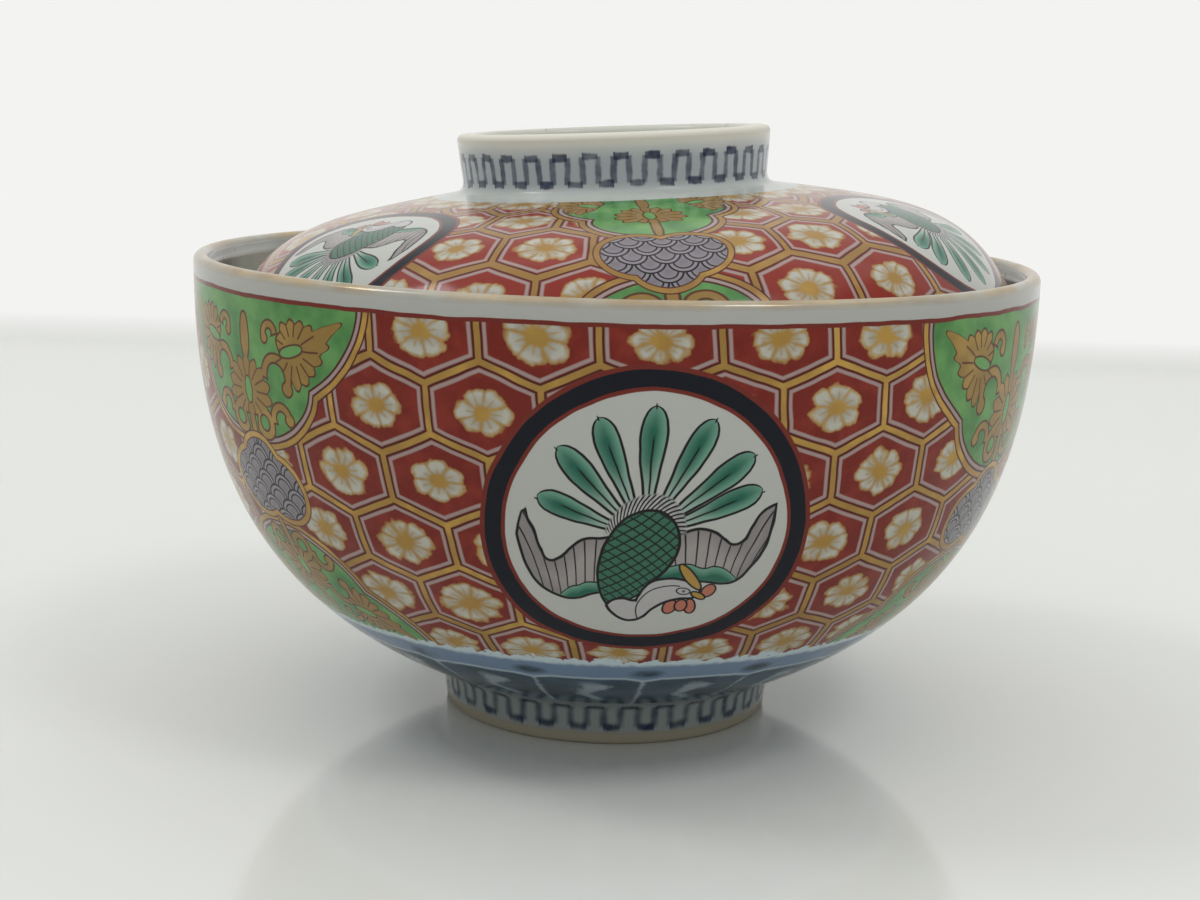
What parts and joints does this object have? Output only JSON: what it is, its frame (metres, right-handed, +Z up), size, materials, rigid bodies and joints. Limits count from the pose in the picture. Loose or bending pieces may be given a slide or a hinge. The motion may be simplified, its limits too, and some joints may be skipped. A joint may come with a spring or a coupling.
{
  "type": "lidded bowl",
  "caption": "Round porcelain bowl on a foot ring, with a loose domed lid that rests inside the rim and lifts off by its ring knob.",
  "frame": {"origin": "on the table, at the centre of the bowl's foot ring", "axes": "+Z up along the bowl's axis, -Y towards the front of the decoration, +X to the side on which the lid lies higher"},
  "size_m": [0.1182, 0.1182, 0.0839],
  "materials": {
    "bowl_porcelain": "white porcelain under clear glaze, painted outside in iron red, gold, green and blue",
    "lid_porcelain": "white porcelain under clear glaze, painted outside in iron red, gold, green and blue"
  },
  "bodies": {
    "bowl": {"bowl": "bowl_porcelain"},
    "lid": {"lid": "lid_porcelain"}
  },
  "joints": [
    {"name": "lid_lift", "type": "slide", "parent": "bowl", "child": "lid", "axis": [0, 0, 1], "range_m": [0, 0.06]}
  ]
}
